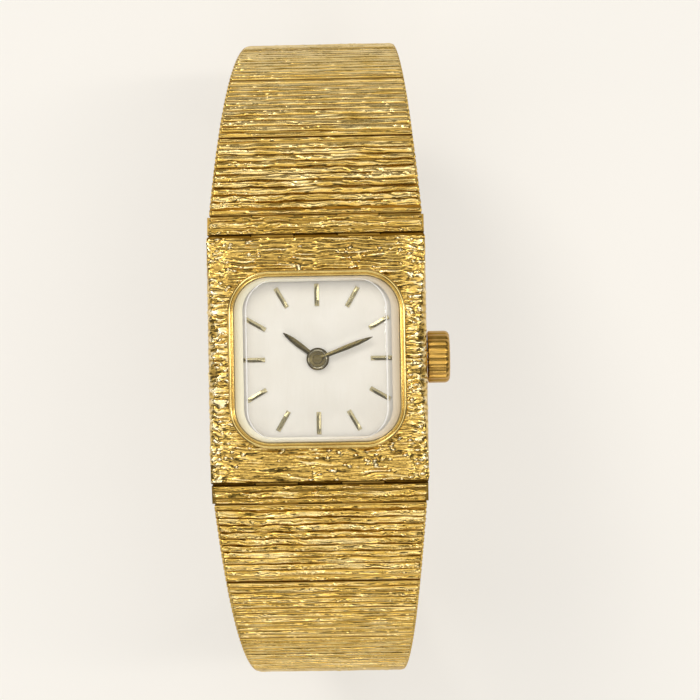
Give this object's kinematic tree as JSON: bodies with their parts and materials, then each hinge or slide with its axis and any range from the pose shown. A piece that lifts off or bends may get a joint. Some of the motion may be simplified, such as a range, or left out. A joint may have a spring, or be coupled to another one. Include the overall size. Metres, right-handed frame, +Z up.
{
  "type": "wristwatch",
  "caption": "Ladies' dress wristwatch: bark-finish square case, bevelled crystal, baton dial, fluted crown and a tapering mesh bracelet closed by a fold-over clasp.",
  "frame": {"origin": "on the surface that the closed bracelet stands on, under the hands' axis, on the underside of the clasp lever", "axes": "+Z up, out of the dial; +Y towards 12 o'clock; +X towards 3 o'clock, where the crown is"},
  "size_m": [0.0189, 0.0548, 0.041],
  "materials": {
    "bark_gold": "gold plate with a bark texture, bright on its crests",
    "polished_gold": "polished gold plate",
    "crystal": "clear bevelled crystal",
    "dial_cream": "matt cream lacquer",
    "marker_gold": "polished gold, slightly dark",
    "crown_gold": "warm gold plate, fluted",
    "movement_brass": "fine matt gilt",
    "steel": "polished steel",
    "ruby": "clear red jewel",
    "seal_rubber": "black seal"
  },
  "bodies": {
    "case": {"case_body": "bark_gold", "bezel_rim": "polished_gold", "crystal": "crystal", "dial": "dial_cream", "hour_markers": "marker_gold", "movement_ring": "steel", "case_back": "polished_gold", "back_gasket": "seal_rubber", "crown_tube": "steel", "main_plate": "movement_brass", "barrel_bridge": "movement_brass", "train_bridge": "movement_brass", "balance_cock": "movement_brass", "bridge_screws": "steel", "jewels": "ruby"},
    "keyless_pinions": {"winding_pinion": "steel", "sliding_pinion": "steel"},
    "crown_and_stem": {"crown": "crown_gold", "winding_stem": "steel"},
    "crown_wheel": {"crown_wheel": "steel"},
    "ratchet_wheel": {"ratchet_wheel": "steel"},
    "click": {"click": "steel"},
    "barrel": {"barrel": "movement_brass"},
    "centre_wheel": {"centre_wheel": "movement_brass"},
    "third_wheel": {"third_wheel": "movement_brass"},
    "fourth_wheel": {"fourth_wheel": "movement_brass"},
    "escape_wheel": {"escape_wheel": "steel"},
    "pallet_fork": {"pallet_fork": "steel"},
    "balance": {"balance_wheel": "movement_brass", "hairspring": "steel"},
    "minute_hand": {"cannon_pinion": "steel", "minute_hand": "marker_gold"},
    "minute_wheel": {"minute_wheel": "movement_brass"},
    "hour_hand": {"hour_wheel": "movement_brass", "hour_hand": "marker_gold"},
    "end_link_12": {"end_link_12": "polished_gold"},
    "mesh_12_1": {"mesh_12_1": "bark_gold"},
    "mesh_12_2": {"mesh_12_2": "bark_gold"},
    "mesh_12_3": {"mesh_12_3": "bark_gold"},
    "mesh_12_4": {"mesh_12_4": "bark_gold"},
    "mesh_12_5": {"mesh_12_5": "bark_gold"},
    "mesh_12_6": {"mesh_12_6": "bark_gold"},
    "mesh_12_7": {"mesh_12_7": "bark_gold"},
    "mesh_12_8": {"mesh_12_8": "bark_gold"},
    "end_link_6": {"end_link_6": "polished_gold"},
    "mesh_6_1": {"mesh_6_1": "bark_gold"},
    "mesh_6_2": {"mesh_6_2": "bark_gold"},
    "mesh_6_3": {"mesh_6_3": "bark_gold"},
    "mesh_6_4": {"mesh_6_4": "bark_gold"},
    "mesh_6_5": {"mesh_6_5": "bark_gold"},
    "mesh_6_6": {"mesh_6_6": "bark_gold"},
    "mesh_6_7": {"mesh_6_7": "bark_gold"},
    "mesh_6_8": {"mesh_6_8": "bark_gold"},
    "catch_plate": {"catch_plate": "polished_gold"},
    "clasp_body": {"clasp_body": "polished_gold", "clasp_pin": "steel"},
    "clasp_lever": {"clasp_lever": "polished_gold"}
  },
  "joints": [
    {"name": "fourth_wheel_turn", "type": "hinge", "parent": "case", "child": "fourth_wheel", "pos_m": [-0.00199, -0.003, 0.03513], "axis": [0, 0, 1], "continuous": true},
    {"name": "third_wheel_turn", "type": "hinge", "parent": "case", "child": "third_wheel", "pos_m": [-0.00261, -0.0007, 0.03513], "axis": [0, 0, 1], "continuous": true},
    {"name": "centre_wheel_turn", "type": "hinge", "parent": "case", "child": "centre_wheel", "pos_m": [0, 0, 0.03513], "axis": [0, 0, 1], "continuous": true},
    {"name": "barrel_turn", "type": "hinge", "parent": "case", "child": "barrel", "pos_m": [0.00139, 0.00297, 0.03513], "axis": [0, 0, 1], "continuous": true},
    {"name": "escape_wheel_turn", "type": "hinge", "parent": "case", "child": "escape_wheel", "pos_m": [-0.00035, -0.00438, 0.03513], "axis": [0, 0, 1], "continuous": true},
    {"name": "pallet_rock", "type": "hinge", "parent": "case", "child": "pallet_fork", "pos_m": [0.00105, -0.00385, 0.03513], "axis": [0, 0, 1], "range_deg": [-5, 5]},
    {"name": "balance_swing", "type": "hinge", "parent": "case", "child": "balance", "pos_m": [0.0033, -0.003, 0.03513], "axis": [0, 0, 1], "range_deg": [-140, 140], "stiffness_Nm_per_rad": 0.000001},
    {"name": "minute_hand_turn", "type": "hinge", "parent": "case", "child": "minute_hand", "pos_m": [0, 0, 0.03513], "axis": [0, 0, 1], "continuous": true},
    {"name": "minute_wheel_turn", "type": "hinge", "parent": "case", "child": "minute_wheel", "pos_m": [-0.00158, -0.00057, 0.03513], "axis": [0, 0, 1], "continuous": true},
    {"name": "hour_hand_turn", "type": "hinge", "parent": "case", "child": "hour_hand", "pos_m": [0, 0, 0.03513], "axis": [0, 0, 1], "continuous": true},
    {"name": "crown_turn", "type": "hinge", "parent": "case", "child": "keyless_pinions", "pos_m": [0, 0, 0.03688], "axis": [1, 0, 0], "continuous": true},
    {"name": "crown_pull", "type": "slide", "parent": "keyless_pinions", "child": "crown_and_stem", "axis": [1, 0, 0], "range_m": [0, 0.0005]},
    {"name": "crown_wheel_turn", "type": "hinge", "parent": "case", "child": "crown_wheel", "pos_m": [0.00367, 0, 0.03513], "axis": [0, 0, 1], "continuous": true},
    {"name": "ratchet_wheel_turn", "type": "hinge", "parent": "case", "child": "ratchet_wheel", "pos_m": [0.00139, 0.00297, 0.03513], "axis": [0, 0, 1], "continuous": true},
    {"name": "click_lift", "type": "hinge", "parent": "case", "child": "click", "pos_m": [-0.0013, 0.00452, 0.03513], "axis": [0, 0, 1], "range_deg": [0, 12], "stiffness_Nm_per_rad": 0.00001},
    {"name": "hinge_12_0", "type": "hinge", "parent": "case", "child": "end_link_12", "pos_m": [0, 0.00963, 0.03852], "axis": [1, 0, 0], "range_deg": [0, 17]},
    {"name": "hinge_12_1", "type": "hinge", "parent": "end_link_12", "child": "mesh_12_1", "pos_m": [0, 0.01115, 0.03819], "axis": [1, 0, 0], "range_deg": [0, 17]},
    {"name": "hinge_12_2", "type": "hinge", "parent": "mesh_12_1", "child": "mesh_12_2", "pos_m": [0, 0.01742, 0.03544], "axis": [1, 0, 0], "range_deg": [0, 17]},
    {"name": "hinge_12_3", "type": "hinge", "parent": "mesh_12_2", "child": "mesh_12_3", "pos_m": [0, 0.02245, 0.0308], "axis": [1, 0, 0], "range_deg": [0, 17]},
    {"name": "hinge_12_4", "type": "hinge", "parent": "mesh_12_3", "child": "mesh_12_4", "pos_m": [0, 0.0257, 0.02478], "axis": [1, 0, 0], "range_deg": [0, 17]},
    {"name": "hinge_12_5", "type": "hinge", "parent": "mesh_12_4", "child": "mesh_12_5", "pos_m": [0, 0.02683, 0.01803], "axis": [1, 0, 0], "range_deg": [0, 17]},
    {"name": "hinge_12_6", "type": "hinge", "parent": "mesh_12_5", "child": "mesh_12_6", "pos_m": [0, 0.0255, 0.01137], "axis": [1, 0, 0], "range_deg": [0, 17]},
    {"name": "hinge_12_7", "type": "hinge", "parent": "mesh_12_6", "child": "mesh_12_7", "pos_m": [0, 0.02173, 0.00572], "axis": [1, 0, 0], "range_deg": [0, 17]},
    {"name": "hinge_12_8", "type": "hinge", "parent": "mesh_12_7", "child": "mesh_12_8", "pos_m": [0, 0.01608, 0.00195], "axis": [1, 0, 0], "range_deg": [0, 17]},
    {"name": "hinge_12_9", "type": "hinge", "parent": "mesh_12_8", "child": "clasp_body", "pos_m": [0, 0.00942, 0.00062], "axis": [1, 0, 0], "range_deg": [0, 17]},
    {"name": "hinge_6_0", "type": "hinge", "parent": "case", "child": "end_link_6", "pos_m": [0, -0.00963, 0.03852], "axis": [-1, 0, 0], "range_deg": [0, 17]},
    {"name": "hinge_6_1", "type": "hinge", "parent": "end_link_6", "child": "mesh_6_1", "pos_m": [0, -0.01115, 0.03819], "axis": [-1, 0, 0], "range_deg": [0, 17]},
    {"name": "hinge_6_2", "type": "hinge", "parent": "mesh_6_1", "child": "mesh_6_2", "pos_m": [0, -0.01742, 0.03544], "axis": [-1, 0, 0], "range_deg": [0, 17]},
    {"name": "hinge_6_3", "type": "hinge", "parent": "mesh_6_2", "child": "mesh_6_3", "pos_m": [0, -0.02245, 0.0308], "axis": [-1, 0, 0], "range_deg": [0, 17]},
    {"name": "hinge_6_4", "type": "hinge", "parent": "mesh_6_3", "child": "mesh_6_4", "pos_m": [0, -0.0257, 0.02478], "axis": [-1, 0, 0], "range_deg": [0, 17]},
    {"name": "hinge_6_5", "type": "hinge", "parent": "mesh_6_4", "child": "mesh_6_5", "pos_m": [0, -0.02683, 0.01803], "axis": [-1, 0, 0], "range_deg": [0, 17]},
    {"name": "hinge_6_6", "type": "hinge", "parent": "mesh_6_5", "child": "mesh_6_6", "pos_m": [0, -0.0255, 0.01137], "axis": [-1, 0, 0], "range_deg": [0, 17]},
    {"name": "hinge_6_7", "type": "hinge", "parent": "mesh_6_6", "child": "mesh_6_7", "pos_m": [0, -0.02173, 0.00572], "axis": [-1, 0, 0], "range_deg": [0, 17]},
    {"name": "hinge_6_8", "type": "hinge", "parent": "mesh_6_7", "child": "mesh_6_8", "pos_m": [0, -0.01608, 0.00195], "axis": [-1, 0, 0], "range_deg": [0, 17]},
    {"name": "hinge_6_9", "type": "hinge", "parent": "mesh_6_8", "child": "catch_plate", "pos_m": [0, -0.00942, 0.00062], "axis": [-1, 0, 0], "range_deg": [0, 17]},
    {"name": "lever_open", "type": "hinge", "parent": "clasp_body", "child": "clasp_lever", "pos_m": [0, 0.00792, 0.00042], "axis": [1, 0, 0], "range_deg": [0, 110]}
  ],
  "couplings": [
    {"joint": "third_wheel_turn", "follows": "fourth_wheel_turn", "ratio": -0.13333},
    {"joint": "centre_wheel_turn", "follows": "fourth_wheel_turn", "ratio": 0.016667},
    {"joint": "barrel_turn", "follows": "fourth_wheel_turn", "ratio": -0.0023148},
    {"joint": "escape_wheel_turn", "follows": "fourth_wheel_turn", "ratio": -10},
    {"joint": "minute_wheel_turn", "follows": "minute_hand_turn", "ratio": -0.33333},
    {"joint": "hour_hand_turn", "follows": "minute_hand_turn", "ratio": 0.083333},
    {"joint": "crown_wheel_turn", "follows": "crown_turn", "ratio": 0.75},
    {"joint": "ratchet_wheel_turn", "follows": "crown_turn", "ratio": -0.35294}
  ]
}
